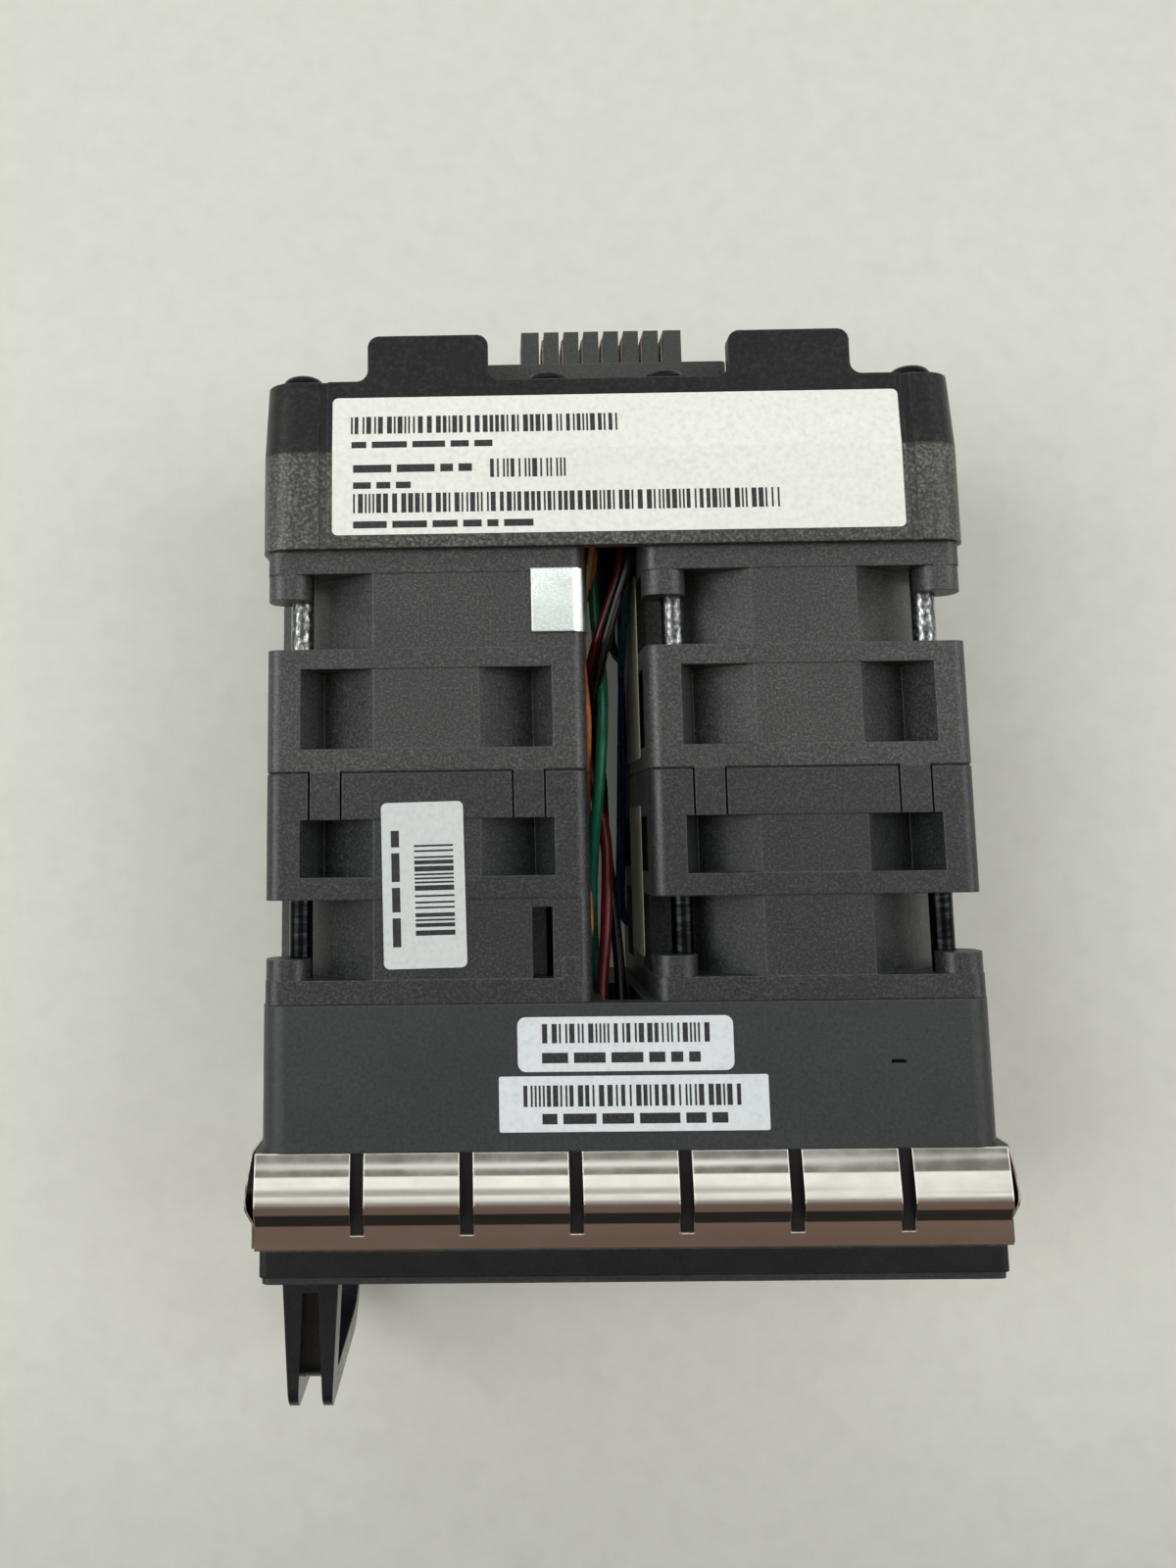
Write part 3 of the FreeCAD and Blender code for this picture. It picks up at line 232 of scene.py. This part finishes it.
# The bezel top under the gasket is painted near black as painted shade, the darkness seen through the
# gasket's slots.
bezel_gasket_shade = dict(shades=((9, 9, 10), (13, 13, 14), (20, 20, 21)), grain=2400.0, rough=(0.4, 0.5), depth=0.01)
bezel_duct = dict(shades=((46, 49, 50), (53, 57, 58), (60, 64, 65)), grain=2200.0, rough=(0.36, 0.46),
                  depth=0.01)
# One fan plastic in two tones: the front fans are painted darker as shade, the rear fans lighter as painted
# light from the ceiling.
front_fan_shaded = dict(shades=((20, 22, 23), (36, 38, 39), (71, 74, 74)), grain=3300.0, rough=(0.34, 0.46),
                 depth=0.02, stops=(0.33, 0.5, 0.72))
rear_fan_lit = dict(shades=((34, 36, 36), (55, 57, 56), (94, 97, 95)), grain=3300.0, rough=(0.34, 0.46),
                depth=0.02, stops=(0.33, 0.5, 0.72))
# Screw shanks: painted bright where they are lit over the rear fans, painted black as shade in front of them;
# the black behind is the heads' own colour.
thread_black_and_shaded = dict(shades=((12, 12, 13), (22, 23, 24), (46, 47, 48)), grain=1500.0, rough=(0.14, 0.26),
                    depth=0.02, stretch=(0.2, 1, 0.2))
thread_lit = dict(shades=((52, 53, 53), (104, 106, 105), (196, 198, 196)), grain=2600.0, rough=(0.2, 0.36),
                   depth=0.03, stretch=(1, 0.5, 1))

# Where one finish or painted tone of light and shade ends and the next begins, along Y in mm.
flange_seam = ALONG - 56
duct_seam = ALONG - 45.1
housing_seam = ALONG + 40.4

finishes = {
    # Fan frames: painted shade on the front fans, painted light on the rear fans, changing where the fans
    # meet.
    "fan_plastic": material("fan_plastic", [front_fan_shaded, rear_fan_lit],
                            ("Y", ALONG - 0.1, ALONG + 0.1), (94, 97, 97)),
    # Housing: painted light on the level top, painted shade past the bend towards the rear.
    "housing_plastic": material("housing_plastic", [housing_front_lit, housing_rear_shaded],
                                ("Y", housing_seam - 0.3, housing_seam + 0.3), (96, 98, 94), 0.35,
                                sockets={"Specular IOR Level": 0.35}),
    # Bezel: dark front flange, then painted shade under the gasket, then the duct.
    "bezel_plastic": material("bezel_plastic", [bezel_flange, bezel_gasket_shade, bezel_duct],
                              ("Y", flange_seam - 0.2, flange_seam + 0.2, duct_seam - 0.2, duct_seam + 0.2),
                              (84, 88, 89), 0.3, sockets={"Specular IOR Level": 0.3}),
    "connector_plastic": plastic("connector_plastic", ((44, 46, 43), (54, 57, 53), (70, 73, 68)), (0.4, 0.55),
                                 edge=(98, 100, 95)),
    "contact_copper": metal("contact_copper", ((150, 132, 114), (178, 158, 138), (200, 182, 162)),
                            (0.3, 0.45)),
    "gasket_steel": metal("gasket_steel", ((208, 206, 198), (216, 214, 206), (224, 222, 214)),
                          (0.08, 0.15), 300.0, 0.2, (0.03, 1, 0.03), 0.5),
    "zinc_steel": metal("zinc_steel", ((214, 221, 220), (230, 237, 235), (242, 247, 246)), (0.14, 0.24),
                        3000.0, 0.004, edge=(244, 246, 246)),
    # The screws' pale edge colour is a painted highlight round the rims of their heads.
    "screw_steel": material("screw_steel", [thread_black_and_shaded, thread_lit, thread_black_and_shaded],
                            ("Y", ALONG - 3.0, ALONG, ALONG + 44.0, ALONG + 46.0), (206, 208, 209), 0.2,
                            sockets={"Metallic": 1.0}),
    "plate_black": plastic("plate_black", ((27, 30, 33), (36, 39, 42), (48, 51, 54)), (0.36, 0.48),
                           2100.0, 0.014, (96, 98, 99)),
    "handle_plastic": plastic("handle_plastic", ((22, 24, 26), (28, 30, 32), (33, 35, 37)), (0.2, 0.28),
                              2600.0, 0.003, (58, 61, 63)),
    "impeller_plastic": plastic("impeller_plastic", ((33, 34, 34), (43, 44, 44), (54, 55, 55)), (0.3, 0.42),
                                edge=(74, 76, 76)),
    "shaft_steel": metal("shaft_steel", ((168, 171, 173), (185, 188, 190), (204, 207, 208)), (0.12, 0.22),
                         stretch=(1, 0.1, 1)),
    "bearing_steel": metal("bearing_steel", ((140, 144, 146), (159, 163, 165), (182, 186, 188)),
                           (0.14, 0.24)),
    "yoke_steel": metal("yoke_steel", ((124, 127, 129), (142, 145, 147), (160, 163, 165)), (0.3, 0.44)),
    "magnet_ferrite": plastic("magnet_ferrite", ((46, 44, 43), (58, 56, 54), (72, 70, 67)), (0.5, 0.65),
                              1500.0, 0.03, (88, 86, 82)),
    "core_steel": metal("core_steel", ((108, 110, 112), (138, 140, 142), (158, 160, 162)), (0.34, 0.5),
                        1300.0, 0.05, (0.05, 1, 0.05)),
    "coil_copper": metal("coil_copper", ((132, 74, 40), (168, 102, 58), (196, 132, 82)), (0.2, 0.32),
                         2600.0, 0.06, (1, 1, 0.1)),
    "board_green": plastic("board_green", ((22, 74, 46), (31, 91, 58), (44, 110, 72)), (0.3, 0.42),
                           1500.0, 0.012, (156, 152, 110)),
    "lamp_lens": material("lamp_lens", [dict(shades=((200, 206, 202), (217, 222, 218), (232, 236, 232)),
                                             grain=700.0, rough=(0.1, 0.2), depth=0.01)],
                          sockets={"Transmission Weight": 0.45, "IOR": 1.49}),
    "lead_red": sleeve("lead_red", (104, 14, 28)),
    "lead_green": sleeve("lead_green", (16, 108, 82)),
    "lead_black": sleeve("lead_black", (12, 12, 13)),
    "lead_orange": sleeve("lead_orange", (206, 122, 62)),
    "lead_yellow": sleeve("lead_yellow", (212, 190, 104)),
    "lead_blue": sleeve("lead_blue", (34, 52, 110)),
    "lead_teal": sleeve("lead_teal", (28, 120, 122)),
}

for part in frame["record"]["subparts"]:
    mesh = frame["nodes"][part["node"]].data
    mesh.materials.clear()
    mesh.materials.append(finishes[part["material_slot"]])


# ---------------------------------------------------------------- leads

lamp_lead_width = 1.5
fan_lead_width = 0.9
connector_tail = 44


def lead(name, slot_name, points, diameter):
    """One lead on a smooth spline through its route, held at both ends."""
    data = bpy.data.curves.new(name, "CURVE")
    data.dimensions = "3D"
    data.bevel_depth = diameter / 2 * MM
    data.bevel_resolution = 4
    data.resolution_u = 10
    data.use_fill_caps = True
    spline = data.splines.new("NURBS")
    spline.points.add(len(points) - 1)
    for point, place in zip(spline.points, points):
        point.co = (*at(*place), 1.0)
    spline.order_u = 3
    spline.use_endpoint_u = True
    data.materials.append(finishes[slot_name])
    piece = bpy.data.objects.new(name, data)
    scene.collection.objects.link(piece)
    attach(piece, "housing")
    return piece


def from_tail(x, z):
    return [(x, connector_tail, z), (x, connector_tail - 6, z)]


def to_lamp(z):
    """Down the bezel's slot, round its corner and along the trough to the lamp."""
    return [(-0.8, -50.8, z), (-0.8, -55.6, z), (-0.8, -57.8, z), (2.0, -57.8, z), (20.0, -57.8, z),
            (39.8, -57.8, z)]


def from_fan(side, y, z):
    return [(side * 3.75, y, z), (side * 3.3, y + 0.3, z - 0.8)]


def to_tail(x, z):
    return from_tail(x, z)[::-1]


red = from_tail(0.9, 30.2) + [
    (2.6, 32, 31.5), (1.9, 27, 32), (-0.4, 20.5, 31.5), (-2.2, 15, 29.9), (-2.95, 9, 27.2), (-2.9, 3, 26),
    (-2.3, -2, 28.2), (-0.85, -8, 31), (-1, -15, 31), (-1.4, -22, 31), (-2.2, -29, 31.3), (-1.8, -36, 33.2),
    (-0.8, -44, 35.8)] + to_lamp(36.6)
green = from_tail(-0.4, 27.2) + [
    (-1.4, 30, 26.8), (-1.5, 23, 26.9), (-1.0, 16.5, 27.6), (-0.9, 10.5, 31.2), (-1.4, 4, 33.8),
    (-1.9, -2, 33.7), (-2.6, -8, 32.4), (-2.95, -14, 30.6), (-2.95, -19.5, 29), (-2.7, -24, 28),
    (-1.9, -30, 28.3), (-0.9, -42, 33.6)] + to_lamp(35.025)
black = from_tail(1.5, 32.4) + [
    (3.0, 32, 33.6), (2.6, 27, 34), (0.7, 21.5, 33.5), (-1, 15.2, 32.4), (-2.3, 9.5, 30), (-1.7, 4, 28),
    (-0.9, -1, 26), (-0.8, -7, 25), (-0.2, -13, 25), (0.4, -20, 26), (0.7, -28, 28.5), (0.3, -36, 32),
    (-0.6, -44, 36.8)] + to_lamp(38.175)
orange_front = from_fan(-1, -21, 32) + [
    (-3.3, -16, 30.6), (-3.3, -9, 30), (-3.3, -2, 31), (-3.15, 4, 33.6), (-3.1, 8, 33.4), (-3.3, 13, 30),
    (-3.3, 20, 28.4), (-3.2, 28, 29)] + to_tail(-2.8, 32.8)
orange_rear = from_fan(-1, 13, 24) + [
    (-3.3, 16.4, 24.1), (-3.2, 23, 25.4), (-1.2, 28, 29.4), (-1.6, 31.5, 29.2)] + to_tail(-2.8, 26.4)
yellow_front = from_fan(-1, -21, 29.8) + [
    (-3.3, -17.4, 28.8), (-3.3, -11, 28.4), (-3.3, -1, 28.6), (-3.3, 6, 28.8), (-3.3, 12, 28), (-3.3, 20, 27),
    (-2.2, 28, 29.8)] + to_tail(-0.6, 33.2)
yellow_rear = from_fan(-1, 13, 21.8) + [
    (-3.3, 16.4, 21.9), (-3.3, 22, 22.6), (-3, 29, 23.8)] + to_tail(-2.8, 24.4)
blue_front = from_fan(1, -21, 8) + [
    (2.9, -17.6, 8.4), (3.2, -10, 10), (3.2, -1, 13), (3, 8, 15.5), (2.85, 15, 17.5), (2.8, 22, 20.5),
    (2.4, 29, 23.5)] + to_tail(1.8, 24.6)
blue_rear = from_fan(1, 18, 8) + [(2.4, 21.2, 8.6), (2.9, 25.5, 12), (3, 30, 18)] + to_tail(2.8, 27)
teal_front = from_fan(1, -21, 5.6) + [
    (2.6, -17.6, 5.9), (2.9, -10, 7.2), (3, -1, 9.8), (3, 8, 13.2), (2.9, 16, 18.4), (3, 23, 25.4),
    (3, 30, 30)] + to_tail(2.8, 32.6)
teal_rear = from_fan(1, 18, 5.6) + [(2.2, 21.2, 5.9), (1.2, 25.5, 8.2), (0.6, 31, 14)] + to_tail(0.4, 23.4)

for name, route, length in (("red", red, 142), ("green", green, 143), ("black", black, 142)):
    piece = lead("lamp_lead_" + name + "_cord", "lead_" + name, route, lamp_lead_width)
    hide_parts("lamp_lead_" + name)
for name, routes, lengths in (
        ("orange", (orange_front, orange_rear), (66.6, 32.6)),
        ("yellow", (yellow_front, yellow_rear), (67.0, 32.7)),
        ("blue", (blue_front, blue_rear), (68.9, 35.4)),
        ("teal", (teal_front, teal_rear), (73.9, 34.9))):
    for end, route, length in zip(("front", "rear"), routes, lengths):
        piece = lead("fan_lead_" + name + "_" + end, "lead_" + name, route, fan_lead_width)
        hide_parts("fan_leads_" + name)


# ---------------------------------------------------------------- labels

housing_top = 42.6
housing_bend = 40.5
housing_slope = 0.8 / 9.5  # fall of the rear end per mm
bezel_top = 41.8
fan_top = 41.3
fan_inner_side = 3.75

paper_thick = 0.09
ink_thick = 0.012


def paper(name, shade, rough=(0.34, 0.48)):
    shades = [tuple(c * k for c in shade) for k in (0.955, 1.0, 1.025)]
    return material(name, [dict(shades=shades, grain=1400.0, rough=rough, depth=0.006)],
                    edge=tuple(c * 0.8 for c in shade), radius=0.06)


white_paper = paper("label_white", (232, 235, 227))
pale_paper = paper("label_pale", (213, 220, 222))
silver_paper = paper("label_silver", (203, 209, 208), (0.26, 0.4))
cream_paper = paper("label_cream", (196, 194, 178))
ink = material("label_ink", [dict(shades=((20, 20, 22), (34, 34, 36), (58, 58, 60)), grain=2600.0,
                                  rough=(0.4, 0.6), depth=0.004)], radius=0.02)


def on_housing(u, v):
    """Housing top: level, then falling towards the rear."""
    if v <= housing_bend:
        return at(u, v, housing_top), Vector((0, 0, 1))
    place = at(u, v, housing_top - (v - housing_bend) * housing_slope)
    return place, Vector((0, housing_slope, 1)).normalized()


def on_bezel(u, v):
    return at(u, v, bezel_top), Vector((0, 0, 1))


def on_left_fan(u, v):
    """Fan top, turned by the degree that this label was stuck on askew."""
    askew = math.radians(1.0)
    x = -24.2 + u * math.cos(askew) - v * math.sin(askew)
    y = -13.75 + u * math.sin(askew) + v * math.cos(askew)
    return at(x, y, fan_top), Vector((0, 0, 1))


def on_inner_side(u, v):
    return at(fan_inner_side, u, v), Vector((-1, 0, 0))


def rounded(x0, y0, x1, y1, radius, steps=6):
    """A rectangle's outline with round corners, anticlockwise."""
    points = []
    for cx, cy, start in ((x1 - radius, y1 - radius, 0), (x0 + radius, y1 - radius, 90),
                          (x0 + radius, y0 + radius, 180), (x1 - radius, y0 + radius, 270)):
        for step in range(steps + 1):
            turn = math.radians(start + 90 * step / steps)
            points.append((cx + radius * math.cos(turn), cy + radius * math.sin(turn)))
    return points


def rectangle(x0, y0, x1, y1):
    return [(x0, y0), (x1, y0), (x1, y1), (x0, y1)]


def stuck_on(name, outlines, surface, lift, thick, finish):
    """Thin flat pieces that lie on a surface, lift mm above it."""
    mesh = bpy.data.meshes.new(name)
    work = bmesh.new()
    for outline in outlines:
        work.faces.new([work.verts.new((x, y, 0)) for x, y in outline])
    if surface is on_housing:
        everything = work.verts[:] + work.edges[:] + work.faces[:]
        bmesh.ops.bisect_plane(work, geom=everything, plane_co=(0, housing_bend, 0), plane_no=(0, 1, 0))
    grown = bmesh.ops.extrude_face_region(work, geom=work.faces[:])
    for item in grown["geom"]:
        if isinstance(item, bmesh.types.BMVert):
            item.co.z = thick
    for vert in work.verts:
        place, normal = surface(vert.co.x, vert.co.y)
        vert.co = place + normal * (lift + vert.co.z) * MM
    bmesh.ops.recalc_face_normals(work, faces=work.faces[:])
    work.to_mesh(mesh)
    work.free()
    mesh.materials.append(finish)
    piece = bpy.data.objects.new(name, mesh)
    scene.collection.objects.link(piece)
    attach(piece, "housing")
    return piece


def stripes(x0, x1, y0, y1, seed, pitch=0.24):
    """Plain bars of uneven width side by side along x."""
    pick = random.Random(seed)
    found, x = [], x0
    while x < x1 - pitch:
        width = pitch * pick.choice((1, 1, 2, 2.6))
        found.append(rectangle(x, y0, min(x + width, x1), y1))
        x += width + pitch * pick.choice((1, 1, 1.6, 2.2))
    return found


def turned(outlines):
    return [[(y, x) for x, y in outline][::-1] for outline in outlines]


def dashes(x0, x1, y0, y1, seed):
    """A row of plain dashes where a line of print would be."""
    pick = random.Random(seed)
    found, x = [], x0
    while x < x1 - 0.6:
        width = pick.uniform(1.4, 5.0)
        found.append(rectangle(x, y0, min(x + width, x1), y1))
        x += width + 0.7
    return found


stuck_on("housing_label", [rounded(-35.35, 29.65, 36.6, 47.7, 0.7)], on_housing, 0, paper_thick, white_paper)
stuck_on("housing_label_bars", stripes(-33, 1.4, 42.8, 45.1, 3) + stripes(-15.35, -5.7, 36.85, 39.25, 5)
         + stripes(-32.7, 21.65, 32.45, 34.95, 8), on_housing, paper_thick, ink_thick, ink)
stuck_on("housing_label_lines", dashes(-32.9, -15, 40.9, 41.75, 1) + dashes(-32.7, -16.4, 37.7, 38.7, 2)
         + dashes(-32.7, -25.4, 35.6, 36.45, 4) + dashes(-32.7, -10, 30.5, 31.4, 6),
         on_housing, paper_thick, ink_thick, ink)

stuck_on("fan_label", [rounded(-5.05, -10, 5.05, 10, 0.7)], on_left_fan, 0, paper_thick, silver_paper)
stuck_on("fan_label_bars", turned(stripes(-6.1, 5.3, -1.1, 3.7, 9)),
         on_left_fan, paper_thick, ink_thick, ink)
stuck_on("fan_label_line", turned(dashes(-7.4, 6.6, -3.9, -2.9, 10)),
         on_left_fan, paper_thick, ink_thick, ink)

stuck_on("bezel_label_rear", [rounded(-13.1, -35.9, 12.7, -29.55, 1.0)],
         on_bezel, 0, paper_thick, pale_paper)
stuck_on("bezel_label_rear_bars", stripes(-10.15, 10.1, -32.6, -30.35, 11),
         on_bezel, paper_thick, ink_thick, ink)
stuck_on("bezel_label_rear_line", dashes(-10.2, 8.7, -34.9, -33.7, 12),
         on_bezel, paper_thick, ink_thick, ink)
stuck_on("bezel_label_front", [rounded(-15.4, -42.8, 16.65, -36.4, 0.25)],
         on_bezel, 0, paper_thick, pale_paper)
stuck_on("bezel_label_front_bars", stripes(-12.5, 13.4, -39.9, -37.45, 13),
         on_bezel, paper_thick, ink_thick, ink)
stuck_on("bezel_label_front_line", dashes(-10.3, 11.7, -41.9, -40.7, 14),
         on_bezel, paper_thick, ink_thick, ink)

stuck_on("side_label_rear", [rounded(1.7, 14.5, 26, 31.7, 0.7)], on_inner_side, 0, paper_thick, cream_paper)
stuck_on("side_label_front", [rounded(-23.8, 16, -4.4, 30, 0.7)], on_inner_side, 0, paper_thick, cream_paper)


# ---------------------------------------------------------------- floor and light

floor_mesh = bpy.data.meshes.new("floor")
work = bmesh.new()
bmesh.ops.create_grid(work, x_segments=8, y_segments=8, size=1.6)
work.to_mesh(floor_mesh)
work.free()
floor = bpy.data.objects.new("floor", floor_mesh)
floor.location = (0, 0, cad_box[0][2] - 0.0001)
# The floor is painted darker towards the front as a painted shadow falling from the front; nearer the object
# it is plain pale.
floor_front_shadow = dict(shades=((142, 144, 138), (146, 148, 142), (149, 151, 145)), grain=260.0, rough=(0.4, 0.5),
                 depth=0.004)
floor_unshadowed = dict(shades=((200, 202, 193), (204, 206, 197), (207, 209, 200)), grain=260.0, rough=(0.4, 0.5),
                  depth=0.004)
pale = material("floor_pale", [floor_front_shadow, floor_unshadowed], ("Y", -165, -65))
tree = pale.node_tree
path = node(tree, "ShaderNodeLightPath").outputs
seen = path["Is Camera Ray"]
for ray in ("Is Glossy Ray", "Is Transmission Ray"):
    seen = node(tree, "ShaderNodeMath", {0: seen, 1: path[ray]}, operation="MAXIMUM").outputs["Value"]
glow = ranged(tree, seen, 0.0, 1.0, 0.0, 0.1)
tree.links.new(glow, tree.nodes["Principled BSDF"].inputs["Emission Strength"])
tree.nodes["Principled BSDF"].inputs["Emission Color"].default_value = linear((204, 206, 197))
floor_mesh.materials.append(pale)
scene.collection.objects.link(floor)


def soft_lamp(name, place, size, energy):
    """A large square lamp that faces the middle of the object."""
    data = bpy.data.lights.new(name, "AREA")
    data.size = size
    data.energy = energy
    made = bpy.data.objects.new(name, data)
    made.location = place
    made.rotation_euler = (-Vector(place)).to_track_quat("-Z", "Y").to_euler()
    scene.collection.objects.link(made)


soft_lamp("left_lamp", (-1.2, 0.08, 1.3), 1.1, 14.0)
soft_lamp("right_lamp", (1.2, 0.08, 1.2), 1.0, 7.3)

world = bpy.data.worlds.new("studio")
world.use_nodes = True
scene.world = world
sky = world.node_tree
background = sky.nodes["Background"]
direction = node(sky, "ShaderNodeTexCoord").outputs["Generated"]
lengthwise = node(sky, "ShaderNodeSeparateXYZ", {"Vector": direction}).outputs["Y"]
tone = node(sky, "ShaderNodeValToRGB", {"Fac": ranged(sky, lengthwise, -1.0, 1.0, 0.0, 1.0)})
# Light along the length: dark room, then bright ceiling lamps over the module and behind it.
bands = [(-1.0, (0.02, 0.017, 0.016)), (-0.93, (0.02, 0.017, 0.016)), (-0.8, (0.075, 0.055, 0.048)),
         (-0.6, (0.13, 0.088, 0.072)), (-0.22, (0.15, 0.10, 0.082)), (-0.14, (0.28, 0.255, 0.24)),
         (-0.06, (0.42, 0.42, 0.42)), (-0.025, (1.0, 1.01, 0.98)), (0.035, (1.04, 1.05, 1.02)),
         (0.05, (0.14, 0.14, 0.128)), (0.142, (0.14, 0.14, 0.128)), (0.152, (1.2, 1.21, 1.19)),
         (0.23, (1.2, 1.21, 1.19)), (0.28, (0.36, 0.37, 0.36)), (0.6, (0.36, 0.37, 0.36)),
         (0.75, (1.2, 1.2, 1.18)), (1.0, (1.2, 1.2, 1.18))]
stops = tone.color_ramp.elements
stops[0].color = (*bands[0][1], 1)
stops[1].color = (*bands[-1][1], 1)
for place, colour in bands[1:-1]:
    stops.new((place + 1) / 2).color = (*colour, 1)
sky.links.new(tone.outputs["Color"], background.inputs["Color"])
background.inputs["Strength"].default_value = 1.3
backdrop = node(sky, "ShaderNodeBackground", {"Color": linear((214, 216, 208)), "Strength": 1.0})
direct = node(sky, "ShaderNodeLightPath").outputs["Is Camera Ray"]
either = node(sky, "ShaderNodeMixShader", {0: direct, 1: background.outputs["Background"],
                                           2: backdrop.outputs["Background"]})
sky.links.new(either.outputs["Shader"], sky.nodes["World Output"].inputs["Surface"])
